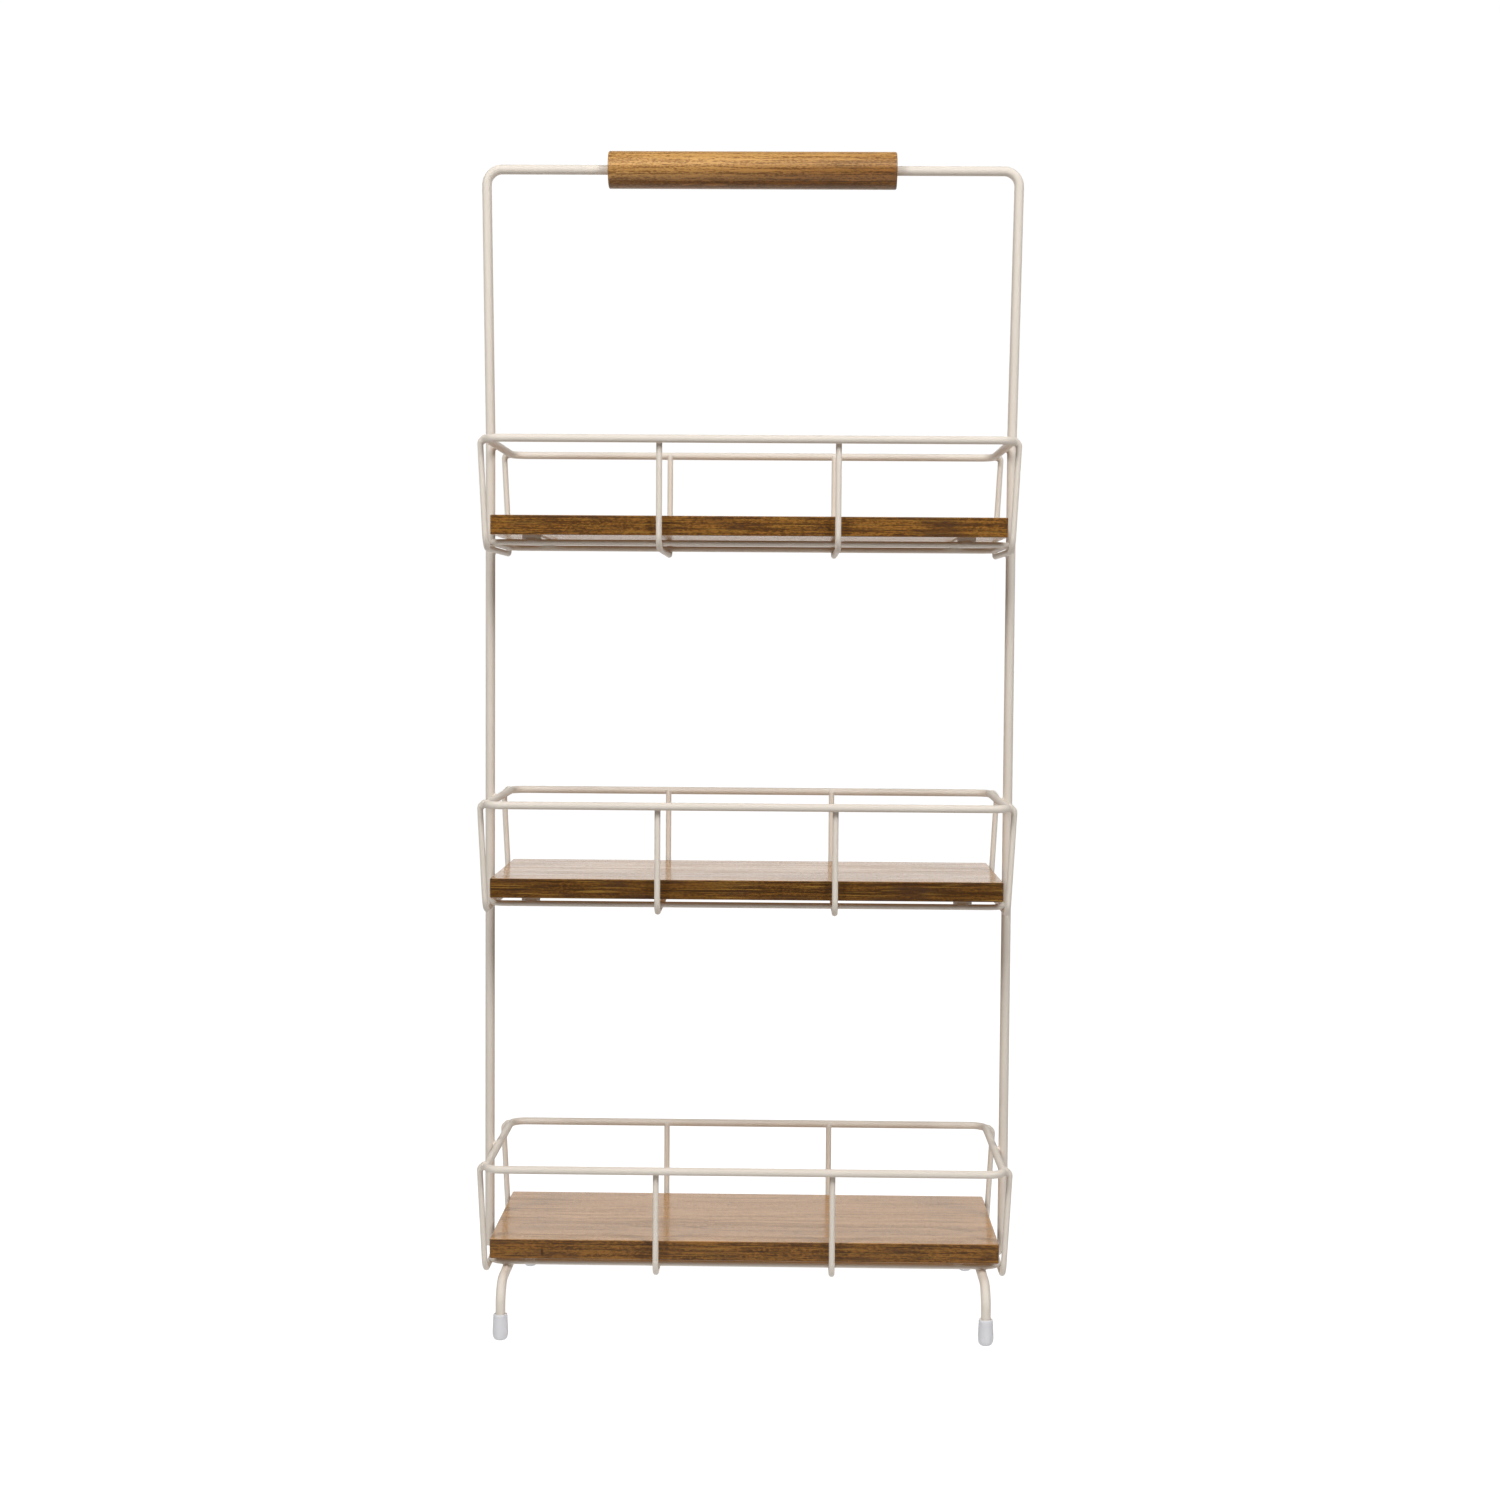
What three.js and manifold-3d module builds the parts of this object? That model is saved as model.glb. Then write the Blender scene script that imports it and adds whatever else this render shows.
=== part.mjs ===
// Three-tier shelf stand: a bent wire frame with a wooden carrying handle, three wire
// baskets floored with wooden boards, and two wire leg arches with soft caps on their feet.
// Millimetres, +Z up, +X to the right, +Y to the back. The origin is on the floor under the middle.
import * as THREE from "three";
import { mergeVertices } from "three/addons/utils/BufferGeometryUtils.js";
import Module from "manifold-3d";

// Wires
const FRAME_WIRE = 5;
const RIM_WIRE = 4;
const HOOP_WIRE = 3;
const LEG_WIRE = 5;
const WELD_GAP = 0.1;

// Boards and the steel strips under them
const BOARD_LENGTH = 261;
const BOARD_DEPTH = 100;
const BOARD_THICKNESS = 10;
const BOARD_CORNER = 2.5;
const BOARD_EASE = 0.8;
const STRIP_WIDTH = 9.4;
const STRIP_THICKNESS = 0.8;
const STRIP_FOOT_HEIGHT = 1.9;
const STRIP_INSET = 21.2;

// Rises from each board's top to the next one's, and from the top board to the middle of the bar
const MID_RISE = 185.8;
const TOP_RISE = 184.3;
const BAR_RISE = 181.9;

// Baskets
const RIM_RISE = 37.9;
const BASKET_BEND = 8;
const HOOP_BEND = 7;
const HOOP_SPACING = 90;
const HOOP_TIP = 1;
const BOARD_END_CLEARANCE = 0.65;
const BOARD_FRONT_CLEARANCE = 2.9;
const RING_END_INSET = 1.15;
const RING_FRONT_INSET = 7.5;
const END_HOOP_INSET = 0.5;

// Main frame and handle
const TOP_BEND = 8;
const FLARE = 2.4;
const FLARE_ABOVE_RIM = 8;
const FLARE_BEND = 40;
const HANDLE_LENGTH = 150;
const HANDLE_DIAMETER = 19.2;
const HANDLE_CLEARANCE = 0.4;
const HANDLE_EASE = 0.8;

// Leg arches and foot caps
const LEG_BEND = 12;
const LEG_STRAIGHT = 3.8;
const LEG_INSET = 8.9;
const LEG_REACH = 24.8;
const CAP_HEIGHT = 13.2;
const CAP_WALL = 1.3;
const CAP_LIP_WALL = 0.6;
const CAP_LIP_ROUND = 2;
const CAP_BASE_INSET = 1.2;
const CAP_BULGE_HEIGHT = 4;
const CAP_FLOOR = 2.6;
const CAP_CLEARANCE = 0.2;

// Board screws
const SCREW_SHANK = 3;
const SCREW_HEAD = 6.5;
const SCREW_HEAD_HEIGHT = 1.8;
const SCREW_CROWN = 4.5;
const SCREW_POINT = 3;
const SCREW_COVER = 3.5;
const SCREW_CLEARANCE = 0.3;
const SCREW_SPACING = 50;
const DRILL_RUN = 1;

// How finely round shapes are cut
const WIRE_SIDES = 10;
const TURNED_SIDES = 24;
const SCREW_SIDES = 12;
const BEND_STEP = Math.PI / 12;
const PROFILE_STEPS = 4;

// The two ends of the stand, and its front and rear
const ENDS = [["left", -1], ["right", 1]];
const FACES = [["front", -1], ["rear", 1]];

// Places across the stand, worked outwards from the board
const END_HOOP_LOW_X = BOARD_LENGTH / 2 + BOARD_END_CLEARANCE + HOOP_WIRE / 2;
const UPRIGHT_X = END_HOOP_LOW_X + (HOOP_WIRE + FRAME_WIRE) / 2 + WELD_GAP;
const RIM_X = UPRIGHT_X - (FRAME_WIRE + RIM_WIRE) / 2 - WELD_GAP;
const END_HOOP_TOP_X = RIM_X + (RIM_WIRE + HOOP_WIRE) / 2 + WELD_GAP;
const RING_X = END_HOOP_LOW_X - RING_END_INSET;
const STRIP_X = RING_X - STRIP_INSET;
const LEG_X = RING_X - LEG_INSET;
const HOOP_X = HOOP_SPACING / 2;

// Places front to back
const HOOP_Y = BOARD_DEPTH / 2 + BOARD_FRONT_CLEARANCE + HOOP_WIRE / 2;
const RIM_Y = HOOP_Y + (HOOP_WIRE + RIM_WIRE) / 2 + WELD_GAP;
const END_HOOP_Y = RIM_Y - BASKET_BEND - END_HOOP_INSET;
const RING_Y = BOARD_DEPTH / 2 - RING_FRONT_INSET;
const LEG_Y = RING_Y + LEG_REACH;
const SCREW_Y = SCREW_SPACING / 2;

// Depths below a board's top face
const STRIP_TOP = BOARD_THICKNESS;
const STRIP_BOTTOM = STRIP_TOP + STRIP_THICKNESS;
const STRIP_FOOT = STRIP_TOP + STRIP_FOOT_HEIGHT;
const RING_DOWN = STRIP_FOOT + WELD_GAP + HOOP_WIRE / 2;
const HOOP_DOWN = RING_DOWN + HOOP_WIRE + WELD_GAP;
const LEG_DOWN = RING_DOWN + (HOOP_WIRE + LEG_WIRE) / 2 + WELD_GAP;

// Heights above the floor
const LEG_TOP = CAP_HEIGHT + LEG_STRAIGHT + LEG_BEND;
const LOW_SHELF = LEG_TOP + LEG_DOWN;
const MID_SHELF = LOW_SHELF + MID_RISE;
const TOP_SHELF = MID_SHELF + TOP_RISE;
const BAR_HEIGHT = TOP_SHELF + BAR_RISE;

// How far a screw goes into the board above its strip
const SCREW_BITE = BOARD_THICKNESS - SCREW_COVER;

const cream = { color: 0xe1d7cb, roughness: 0.45, metalness: 0 };
const walnutStain = { color: 0x7a4f28, roughness: 0.4, metalness: 0 };
const honeyStain = { color: 0x9c6a35, roughness: 0.45, metalness: 0 };
const milkyPlastic = { color: 0xd9d8de, roughness: 0.35, metalness: 0 };
const zincPlate = { color: 0xb9bcbf, roughness: 0.35, metalness: 1 };

const wasm = await Module();
wasm.setup();

const stand = new THREE.Group();

function place(name, geometry, look, parent = stand) {
  const mesh = new THREE.Mesh(geometry, new THREE.MeshStandardMaterial(look));
  mesh.name = name;
  parent.add(mesh);
  return mesh;
}

// A wire's centreline: straight runs joined by round bends, with one step to a straight run
// and one to each small turn of a bend.
class BentWire extends THREE.Curve {
  constructor(corners, bends, closed = false) {
    super();
    this.knots = [];
    const count = corners.length;
    const heading = (i) =>
      corners[(i + 1) % count]
        .clone()
        .sub(corners[i % count])
        .normalize();
    if (!closed) this.addKnot(corners[0], heading(0));
    const first = closed ? 0 : 1;
    const last = closed ? count : count - 1;
    for (let i = first; i < last; i++) {
      const bend = bends[(i - first) % bends.length];
      this.addBend(corners[i], heading(i + count - 1), heading(i), bend);
    }
    if (!closed) this.addKnot(corners[count - 1], heading(count - 2));
    this.steps = closed ? this.knots.length : this.knots.length - 1;
  }

  addKnot(point, tangent) {
    this.knots.push({ point: point.clone(), tangent: tangent.clone() });
  }

  addBend(corner, inward, outward, radius) {
    const turn = inward.angleTo(outward);
    const side = outward.clone().addScaledVector(inward, -Math.cos(turn)).normalize();
    const start = corner.clone().addScaledVector(inward, -radius * Math.tan(turn / 2));
    const steps = Math.ceil(turn / BEND_STEP);
    for (let i = 0; i <= steps; i++) {
      const angle = (turn * i) / steps;
      const point = start
        .clone()
        .addScaledVector(inward, radius * Math.sin(angle))
        .addScaledVector(side, radius * (1 - Math.cos(angle)));
      const tangent = inward
        .clone()
        .multiplyScalar(Math.cos(angle))
        .addScaledVector(side, Math.sin(angle));
      this.addKnot(point, tangent);
    }
  }

  knotAt(t) {
    return this.knots[Math.round(t * this.steps) % this.knots.length];
  }

  getPoint(t, target = new THREE.Vector3()) {
    return target.copy(this.knotAt(t).point);
  }

  getPointAt(t, target) {
    return this.getPoint(t, target);
  }

  getTangentAt(t, target = new THREE.Vector3()) {
    return target.copy(this.knotAt(t).tangent);
  }
}

function circlePoints(diameter, sides) {
  const points = [];
  for (let i = 0; i < sides; i++) {
    const angle = (2 * Math.PI * i) / sides;
    points.push(new THREE.Vector2(Math.cos(angle), Math.sin(angle)).multiplyScalar(diameter / 2));
  }
  return points;
}

// A wire with two cut ends
function openWire(path, diameter) {
  const section = new THREE.Shape(circlePoints(diameter, WIRE_SIDES));
  return new THREE.ExtrudeGeometry(section, { extrudePath: path, steps: path.steps });
}

// A wire whose ends are butt welded, lying flat
function wireRing(halfLength, halfDepth, diameter) {
  const corners = [
    new THREE.Vector3(-halfLength, -halfDepth, 0),
    new THREE.Vector3(halfLength, -halfDepth, 0),
    new THREE.Vector3(halfLength, halfDepth, 0),
    new THREE.Vector3(-halfLength, halfDepth, 0),
  ];
  const path = new BentWire(corners, [BASKET_BEND], true);
  return new THREE.TubeGeometry(path, path.steps, diameter / 2, WIRE_SIDES, true);
}

function solidOf(geometry) {
  const bare = geometry.clone();
  bare.deleteAttribute("normal");
  bare.deleteAttribute("uv");
  const merged = mergeVertices(bare);
  const mesh = new wasm.Mesh({
    numProp: 3,
    vertProperties: new Float32Array(merged.attributes.position.array),
    triVerts: new Uint32Array(merged.index.array),
  });
  return new wasm.Manifold(mesh);
}

function geometryOf(solid) {
  const mesh = solid.getMesh();
  const geometry = new THREE.BufferGeometry();
  geometry.setAttribute("position", new THREE.BufferAttribute(mesh.vertProperties, 3));
  geometry.setIndex(new THREE.BufferAttribute(mesh.triVerts, 1));
  geometry.computeVertexNormals();
  return geometry;
}

function roundedRectangle(length, depth, corner) {
  const x = length / 2 - corner;
  const y = depth / 2 - corner;
  const shape = new THREE.Shape();
  shape.absarc(x, y, corner, 0, Math.PI / 2);
  shape.absarc(-x, y, corner, Math.PI / 2, Math.PI);
  shape.absarc(-x, -y, corner, Math.PI, 1.5 * Math.PI);
  shape.absarc(x, -y, corner, 1.5 * Math.PI, 2 * Math.PI);
  return shape;
}

// The four places, seen from above, where screws go up into a board
function screwPlaces() {
  const places = [];
  for (const [end, endSign] of ENDS) {
    for (const [face, faceSign] of FACES) {
      places.push({ name: `${face}_${end}`, x: endSign * STRIP_X, y: faceSign * SCREW_Y });
    }
  }
  return places;
}

// A board with eased edges and a blind screw hole over each screw; its top face is at z = 0
function boardGeometry() {
  const outline = roundedRectangle(BOARD_LENGTH, BOARD_DEPTH, BOARD_CORNER);
  const slab = new THREE.ExtrudeGeometry(outline, {
    depth: BOARD_THICKNESS - 2 * BOARD_EASE,
    bevelThickness: BOARD_EASE,
    bevelSize: BOARD_EASE,
    bevelOffset: -BOARD_EASE,
    bevelSegments: 1,
    curveSegments: 2,
  });
  slab.translate(0, 0, BOARD_EASE - BOARD_THICKNESS);
  const holeTop = SCREW_BITE + SCREW_CLEARANCE - BOARD_THICKNESS;
  return drilled(slab, screwPlaces(), -BOARD_THICKNESS - DRILL_RUN, holeTop);
}

// A thin strip with two screw holes, whose ends turn down to stand on the base ring; its top
// face is at z = 0
function stripGeometry() {
  const end = RING_Y + STRIP_THICKNESS / 2;
  const inside = end - STRIP_THICKNESS;
  const profile = new THREE.Shape()
    .moveTo(-end, -STRIP_FOOT_HEIGHT)
    .lineTo(-inside, -STRIP_FOOT_HEIGHT)
    .lineTo(-inside, -STRIP_THICKNESS)
    .lineTo(inside, -STRIP_THICKNESS)
    .lineTo(inside, -STRIP_FOOT_HEIGHT)
    .lineTo(end, -STRIP_FOOT_HEIGHT)
    .lineTo(end, 0)
    .lineTo(-end, 0)
    .closePath();
  const strip = new THREE.ExtrudeGeometry(profile, { depth: STRIP_WIDTH, bevelEnabled: false });
  strip.rotateX(Math.PI / 2).rotateZ(Math.PI / 2).translate(-STRIP_WIDTH / 2, 0, 0);
  const places = FACES.map(([, sign]) => ({ x: 0, y: sign * SCREW_Y }));
  return drilled(strip, places, -STRIP_THICKNESS - DRILL_RUN, DRILL_RUN);
}

// A geometry with an upright screw hole at each place, between two heights
function drilled(geometry, places, low, high) {
  const radius = SCREW_SHANK / 2 + SCREW_CLEARANCE;
  let solid = solidOf(geometry);
  for (const { x, y } of places) {
    const drill = new THREE.CylinderGeometry(radius, radius, high - low, SCREW_SIDES);
    drill.rotateX(Math.PI / 2).translate(x, y, (low + high) / 2);
    solid = solid.subtract(solidOf(drill));
  }
  return geometryOf(solid);
}

// A pan head screw that points up; the seat of its head is at z = 0
function screwGeometry() {
  const head = SCREW_HEAD / 2;
  const shank = SCREW_SHANK / 2;
  const tip = STRIP_THICKNESS + SCREW_BITE;
  const profile = new THREE.Path()
    .moveTo(0, -SCREW_HEAD_HEIGHT)
    .lineTo(SCREW_CROWN / 2, -SCREW_HEAD_HEIGHT)
    .lineTo(head, -SCREW_HEAD_HEIGHT / 2)
    .lineTo(head, 0)
    .lineTo(shank, 0)
    .lineTo(shank, tip - SCREW_POINT)
    .lineTo(0, tip);
  return turned(profile, SCREW_SIDES);
}

// A turned solid, upright on the Z axis, from a profile of radius and height
function turned(profile, sides) {
  const points = profile.getPoints(PROFILE_STEPS);
  return new THREE.LatheGeometry(points, sides).rotateX(Math.PI / 2);
}

function mainFrameGeometry() {
  const foot = LOW_SHELF - HOOP_DOWN;
  const kink = TOP_SHELF + RIM_RISE + FLARE_ABOVE_RIM;
  const topX = UPRIGHT_X + FLARE;
  const path = new BentWire(
    [
      new THREE.Vector3(-UPRIGHT_X, 0, foot),
      new THREE.Vector3(-UPRIGHT_X, 0, kink),
      new THREE.Vector3(-topX, 0, BAR_HEIGHT),
      new THREE.Vector3(topX, 0, BAR_HEIGHT),
      new THREE.Vector3(UPRIGHT_X, 0, kink),
      new THREE.Vector3(UPRIGHT_X, 0, foot),
    ],
    [FLARE_BEND, TOP_BEND, TOP_BEND, FLARE_BEND],
  );
  return openWire(path, FRAME_WIRE);
}

// A bored dowel with eased ends, lying along X
function handleGeometry() {
  const half = HANDLE_LENGTH / 2;
  const outer = HANDLE_DIAMETER / 2;
  const bore = FRAME_WIRE / 2 + HANDLE_CLEARANCE;
  const profile = new THREE.Path()
    .moveTo(bore, -half)
    .lineTo(outer - HANDLE_EASE, -half)
    .lineTo(outer, HANDLE_EASE - half)
    .lineTo(outer, half - HANDLE_EASE)
    .lineTo(outer - HANDLE_EASE, half)
    .lineTo(bore, half)
    .lineTo(bore, -half);
  return turned(profile, TURNED_SIDES).rotateY(Math.PI / 2);
}

// A U hoop that hangs from the front and rear rim bars; the board's top face is at z = 0
function hoopGeometry(topX, lowX, y) {
  const path = new BentWire(
    [
      new THREE.Vector3(topX, -y, RIM_RISE + HOOP_TIP),
      new THREE.Vector3(lowX, -y, -HOOP_DOWN),
      new THREE.Vector3(lowX, y, -HOOP_DOWN),
      new THREE.Vector3(topX, y, RIM_RISE + HOOP_TIP),
    ],
    [HOOP_BEND],
  );
  return openWire(path, HOOP_WIRE);
}

// A leg arch, a staple that runs front to back, with its cut ends inside the caps
function legArchGeometry() {
  const foot = CAP_FLOOR + CAP_CLEARANCE;
  const path = new BentWire(
    [
      new THREE.Vector3(0, -LEG_Y, foot),
      new THREE.Vector3(0, -LEG_Y, LEG_TOP),
      new THREE.Vector3(0, LEG_Y, LEG_TOP),
      new THREE.Vector3(0, LEG_Y, foot),
    ],
    [LEG_BEND],
  );
  return openWire(path, LEG_WIRE);
}

// A soft cap with a flat base, a bulged wall and a narrow lip round the leg
function footCapGeometry() {
  const bore = LEG_WIRE / 2 + CAP_CLEARANCE;
  const bulge = bore + CAP_WALL;
  const lip = bore + CAP_LIP_WALL;
  const shoulder = (bulge + lip) / 2;
  const profile = new THREE.Path()
    .moveTo(0, 0)
    .lineTo(bulge - CAP_BASE_INSET, 0)
    .quadraticCurveTo(bulge, 0, bulge, CAP_BULGE_HEIGHT)
    .lineTo(shoulder, CAP_HEIGHT - CAP_LIP_ROUND)
    .quadraticCurveTo(shoulder, CAP_HEIGHT, lip, CAP_HEIGHT)
    .lineTo(bore, CAP_HEIGHT)
    .lineTo(bore, CAP_FLOOR)
    .lineTo(0, CAP_FLOOR);
  return turned(profile, TURNED_SIDES);
}

// One basket: rim, base ring, four hoops, two strips, a board and its screws
function addTier(name, shelfHeight) {
  const tier = new THREE.Group();
  tier.position.z = shelfHeight;
  stand.add(tier);
  place(`${name}_rim`, wireRing(RIM_X, RIM_Y, RIM_WIRE), cream, tier).position.z = RIM_RISE;
  const ring = wireRing(RING_X, RING_Y, HOOP_WIRE);
  place(`${name}_base_ring`, ring, cream, tier).position.z = -RING_DOWN;
  for (const [end, sign] of ENDS) {
    const hoop = hoopGeometry(sign * HOOP_X, sign * HOOP_X, HOOP_Y);
    place(`${name}_hoop_${end}`, hoop, cream, tier);
    const endHoop = hoopGeometry(sign * END_HOOP_TOP_X, sign * END_HOOP_LOW_X, END_HOOP_Y);
    place(`${name}_end_hoop_${end}`, endHoop, cream, tier);
    const strip = place(`${name}_strip_${end}`, stripGeometry(), cream, tier);
    strip.position.set(sign * STRIP_X, 0, -STRIP_TOP);
  }
  place(`${name}_board`, boardGeometry(), walnutStain, tier);
  for (const { name: corner, x, y } of screwPlaces()) {
    const screw = place(`${name}_screw_${corner}`, screwGeometry(), zincPlate, tier);
    screw.position.set(x, y, -STRIP_BOTTOM);
  }
}

place("main_frame", mainFrameGeometry(), cream);
place("handle", handleGeometry(), honeyStain).position.z = BAR_HEIGHT;
addTier("low", LOW_SHELF);
addTier("mid", MID_SHELF);
addTier("top", TOP_SHELF);
for (const [end, endSign] of ENDS) {
  place(`leg_arch_${end}`, legArchGeometry(), cream).position.x = endSign * LEG_X;
  for (const [face, faceSign] of FACES) {
    const cap = place(`foot_cap_${face}_${end}`, footCapGeometry(), milkyPlastic);
    cap.position.set(endSign * LEG_X, faceSign * LEG_Y, 0);
  }
}

export default stand;
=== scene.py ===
"""Three-tier shelf stand: powder coated wires, lacquered boards, a turned handle and soft foot caps."""

import itertools
import math

import bmesh
import bpy
import numpy as np
from bpy.props import FloatProperty, FloatVectorProperty, PointerProperty
from mathutils import Matrix, Vector


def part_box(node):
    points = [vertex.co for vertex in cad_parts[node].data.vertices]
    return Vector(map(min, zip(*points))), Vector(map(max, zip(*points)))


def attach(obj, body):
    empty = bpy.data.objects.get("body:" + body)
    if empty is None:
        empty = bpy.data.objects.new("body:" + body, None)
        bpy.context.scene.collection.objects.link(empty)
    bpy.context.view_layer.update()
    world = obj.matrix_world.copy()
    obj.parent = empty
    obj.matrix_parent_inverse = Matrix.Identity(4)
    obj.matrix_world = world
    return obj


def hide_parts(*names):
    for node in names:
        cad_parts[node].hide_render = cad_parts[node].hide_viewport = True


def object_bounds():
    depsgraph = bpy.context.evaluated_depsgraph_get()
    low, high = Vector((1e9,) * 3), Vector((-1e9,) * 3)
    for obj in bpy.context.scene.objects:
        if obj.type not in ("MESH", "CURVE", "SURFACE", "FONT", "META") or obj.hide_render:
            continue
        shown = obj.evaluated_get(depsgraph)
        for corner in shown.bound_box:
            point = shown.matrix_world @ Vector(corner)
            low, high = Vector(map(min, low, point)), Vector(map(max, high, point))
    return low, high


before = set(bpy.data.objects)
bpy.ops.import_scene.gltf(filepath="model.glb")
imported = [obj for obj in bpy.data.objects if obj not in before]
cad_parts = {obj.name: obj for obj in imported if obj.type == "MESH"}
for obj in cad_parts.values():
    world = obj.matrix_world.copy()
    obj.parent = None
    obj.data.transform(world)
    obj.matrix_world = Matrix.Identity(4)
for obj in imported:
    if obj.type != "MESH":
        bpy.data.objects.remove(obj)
CAD_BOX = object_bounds()

bl_info = {
    "name": "Shelf stand",
    "version": (1, 0, 0),
    "blender": (4, 5, 0),
    "location": "3D View > Sidebar > Shelf stand",
    "description": "Builds the pieces and finishes of a three-tier wire shelf stand",
    "category": "Object",
}

MM = 0.001
TIERS = ("low", "mid", "top")
ENDS = {"left": -1, "right": 1}
FACES = {"front": -1, "rear": 1}
X_AXIS = Vector((1, 0, 0))
Y_AXIS = Vector((0, 1, 0))
Z_AXIS = Vector((0, 0, 1))
WHITE = (1.0, 1.0, 1.0, 1.0)

# How finely round shapes are cut
WIRE_SIDES = 20
TURNED_SIDES = 56
BEND_STEP = math.radians(5)
ROUND_STEPS = 5
CORNER_STEPS = 6
EASE_STEPS = 4
STRIP_EASE_STEPS = 3
BEAD_SUBDIVISIONS = 4
BEAD_HALVINGS = 24
FLOOR_CELLS = 8

# Edges of turned pieces that bend by more than this are sharp
SHARP_EDGE = math.radians(40)

# How far a weld's skirt ends under the wires' surfaces
WELD_SINK = 0.02 * MM

# Share of a screw head's radius that is flat, and of its height that is domed
HEAD_FLAT = 0.35
HEAD_DOME = 0.75

# Where a screw's thread rises, peaks and ends, as shares of its pitch
THREAD_SHAPE = (0.35, 0.6, 0.85)

# Width of the cross punch at its tip, as a share of the width at its base
PUNCH_TIP = 0.45

# The mix node holds sockets for every kind of value, and these are the places of its colours
MIX_A = 6
MIX_B = 7

# The wave texture repeats after this length of its own coordinates
WAVE_PERIOD = math.tau / 20

# Height of the relief on coats and plastic
RELIEF_HEIGHT = 0.03 * MM

# Detail of each pattern in the wood, and the share of the grain's tone that comes from each
WOOD_DETAIL = {"fibre": 2, "streak": 3, "band": 3, "speckle": 1, "blotch": 2, "pale": 1, "pore": 1}
GRAIN_SHARES = {"fibre": 0.28, "streak": 0.2, "band": 0.17, "speckle": 0.28}
RING_SHARE = 0.07

# Levels of a pattern between which its mark comes in, and the strength of the marks in pores and knots
MARK_FADES = {"pale": (0.58, 0.7), "blotch": (0.48, 0.68), "pore": (0.62, 0.76)}
PORE_STAIN = 0.75
KNOT_STAIN = 0.8

# Each board's place in the log, the paleness of its edges and how much stain they soaked up
BOARDS = {
    "low": ((0.0, 0.03, 0.02), 0.92, 0.55),
    "mid": ((0.41, -0.02, -0.17), 0.67, 0.8),
    "top": ((0.87, 0.04, -0.36), 1.04, 0.65),
}

# Slants upwards, downwards and to the rear between which the room's light comes in
CEILING_FADE = (0.05, 0.5)
GROUND_FADE = (-0.2, -0.7)
BACKDROP_FADE = (0.75, 0.95)


def linear(colour):
    """The linear red, green and blue of an sRGB hex colour."""
    channels = [int(colour[i : i + 2], 16) / 255 for i in (1, 3, 5)]
    return [c / 12.92 if c <= 0.04045 else ((c + 0.055) / 1.055) ** 2.4 for c in channels]


def length(name, description, millimetres):
    """A length that shows in the scene's unit."""
    return FloatProperty(name=name, description=description, default=millimetres * MM, unit="LENGTH")


def lengths(name, description, *millimetres):
    """Two or three lengths that belong together: the sides of something flat, or a place."""
    default = [value * MM for value in millimetres]
    return FloatVectorProperty(
        name=name, description=description, default=default, size=len(default), unit="LENGTH"
    )


def angle_of(name, description, degrees):
    """An angle given in degrees."""
    return FloatProperty(name=name, description=description, default=math.radians(degrees), subtype="ANGLE")


def power_of(name, description, watts):
    """The power of a lamp."""
    return FloatProperty(name=name, description=description, default=watts, unit="POWER")


def brightness(name, description, level):
    """The light of a glowing surface, where 1 is white."""
    return FloatProperty(name=name, description=description, default=level, subtype="FACTOR", min=0)


def tint(name, description, colour):
    """A colour given as sRGB hex and kept as linear values."""
    return FloatVectorProperty(
        name=name, description=description, default=linear(colour), subtype="COLOR", min=0, max=1
    )


class WireSizes(bpy.types.PropertyGroup):
    """Gauges, bends and welds of the steel wires."""

    frame_wire: length("Frame wire", "Diameter of the main frame's wire", 5)
    rim_wire: length("Rim wire", "Diameter of the baskets' rims", 4)
    hoop_wire: length("Hoop wire", "Diameter of the hoops and base rings", 3)
    leg_wire: length("Leg wire", "Diameter of the leg arches", 5)
    top_bend: length("Top bend", "Radius of the main frame's top corners", 8)
    flare_bend: length("Flare bend", "Radius where the uprights start to lean out", 40)
    flare_above_rim: length("Flare above rim", "Height of that bend over the top rim", 8)
    basket_bend: length("Basket bend", "Radius of the rims' and base rings' corners", 8)
    hoop_bend: length("Hoop bend", "Radius of the hoops' lower corners", 7)
    leg_bend: length("Leg bend", "Radius of the leg arches' corners", 12)
    cut_round: length("Cut round", "How far the coat rounds the edge of a cut end", 0.6)
    tip_dome: length("Tip dome", "Length of the round that the end hoops' tips are ground to", 3.4)
    tip_blend: length("Tip blend", "Width of the fillet between those tips and the rim", 2.6)
    weld_blend: length("Weld blend", "Width of the fillet where two wires are welded", 1.5)
    weld_reach: length("Weld reach", "How far a weld's fillet runs from the point of contact", 2.8)


class WoodSizes(bpy.types.PropertyGroup):
    """Edges and grain of the boards and the handle."""

    board_corner: length("Board corner", "Radius of a board's upright corners", 1.0)
    board_ease: length("Board ease", "Rounding of a board's edges", 0.5)
    handle_ease: length("Handle ease", "Rounding of the handle's ends", 0.8)
    handle_bore: length("Handle bore", "Diameter of the hole that the top bar runs through", 5.8)
    fibre: lengths("Fibre", "Length and width of the fine fibres", 24, 0.42)
    streak: lengths("Streak", "Length and width of the late wood's streaks", 60, 1.0)
    band: lengths("Band", "Length and width of the soft bands of tone", 80, 11)
    speckle: lengths("Speckle", "Length and width of the stain's specks", 1.8, 0.7)
    ring_width: length("Ring width", "Spacing of the growth rings", 2.8)
    pale: lengths("Pale fibre", "Length and width of the fibres that took little stain", 35, 0.5)
    blotch: lengths("Blotch", "Length and width of the patches where the stain soaked in", 28, 5)
    pore: lengths("Pore", "Length and width of the dark pores", 6, 0.45)
    knot: lengths("Knot", "Width and height of the pin knot in the low board's front", 1.5, 4.6)
    knot_from_end: length("Knot from end", "Distance of the pin knot from the board's left end", 27)
    knot_from_top: length("Knot from top", "Distance of the pin knot from the board's upper face", 6.4)


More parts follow.
